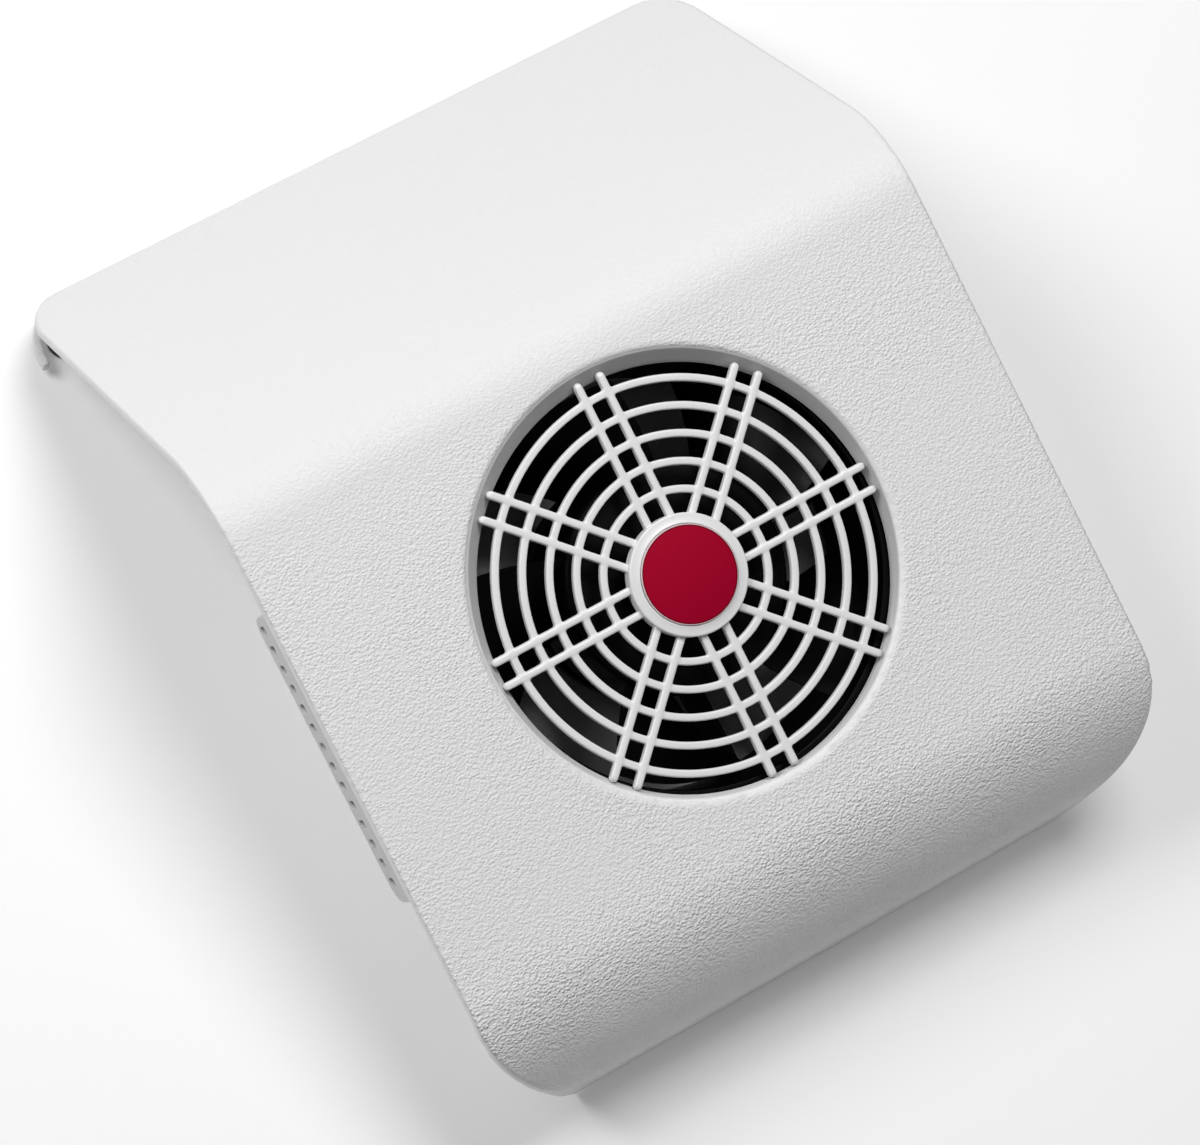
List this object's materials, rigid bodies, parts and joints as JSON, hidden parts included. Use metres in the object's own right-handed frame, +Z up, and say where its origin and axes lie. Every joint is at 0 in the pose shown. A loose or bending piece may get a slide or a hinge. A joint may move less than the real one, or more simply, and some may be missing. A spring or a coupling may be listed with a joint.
{
  "type": "nail dust collector",
  "caption": "Arched desktop hand rest with a round suction grille, a fan below it and a removable dust bag behind.",
  "frame": {"origin": "centre of the footprint, on the table under the feet", "axes": "+X to the right, +Y to the rear, away from the hand, +Z up"},
  "size_m": [0.21, 0.26, 0.0955],
  "materials": {
    "white_plastic": "fine leather-like grain",
    "grille_plastic": "smooth",
    "black_plastic": "smooth",
    "label_red": "printed film, bare",
    "steel": "plated",
    "core_steel": "bare",
    "brass": "bare",
    "copper_winding": "lacquered copper wire",
    "rubber": "matte",
    "bag_cloth": "non-woven",
    "lead_plastic": "smooth"
  },
  "bodies": {
    "housing": {"case_screw_1": "steel", "case_screw_2": "steel", "case_screw_3": "steel", "case_screw_4": "steel", "cord_gland": "rubber", "fan_frame": "black_plastic", "fan_screw_1": "steel", "fan_screw_2": "steel", "fan_screw_3": "steel", "fan_screw_4": "steel", "field_coil_1": "copper_winding", "field_coil_2": "copper_winding", "field_coil_3": "copper_winding", "field_coil_4": "copper_winding", "foot_front_left": "rubber", "foot_front_right": "rubber", "foot_rear_left": "rubber", "foot_rear_right": "rubber", "front_bearing": "brass", "lower_case": "white_plastic", "motor_lead": "lead_plastic", "outlet_collar": "white_plastic", "rear_bearing": "brass", "side_vent_left": "white_plastic", "side_vent_right": "white_plastic", "stator_core": "core_steel", "switch_body": "black_plastic", "switch_lead": "lead_plastic", "switch_tab_line": "brass", "switch_tab_load": "brass", "terminal_block": "white_plastic", "terminal_screw_1": "brass", "terminal_screw_2": "brass", "top_cover": "white_plastic"},
    "impeller_body": {"impeller": "black_plastic", "rotor_ring": "core_steel", "rotor_shaft": "steel", "shaft_clip": "steel"},
    "rocker_body": {"switch_rocker": "black_plastic"},
    "grille_body": {"fan_grille": "grille_plastic", "hub_label": "label_red"},
    "bag_body": {"dust_bag": "bag_cloth", "bag_frame": "black_plastic", "bag_elastic": "rubber"}
  },
  "joints": [
    {"name": "impeller_spin", "type": "hinge", "parent": "housing", "child": "impeller_body", "pos_m": [0, -0.03268, 0.0791], "axis": [0, -0.2497, 0.9683], "continuous": true},
    {"name": "rocker_tilt", "type": "hinge", "parent": "housing", "child": "rocker_body", "pos_m": [0.08315, 0.01161, 0.07276], "axis": [0, -0.2497, 0.9683], "range_deg": [0, 22]},
    {"name": "grille_lift", "type": "slide", "parent": "housing", "child": "grille_body", "axis": [0, -0.2497, 0.9683], "range_m": [0, 0.03]},
    {"name": "bag_pull", "type": "slide", "parent": "housing", "child": "bag_body", "axis": [0, 1, 0], "range_m": [0, 0.012]}
  ]
}
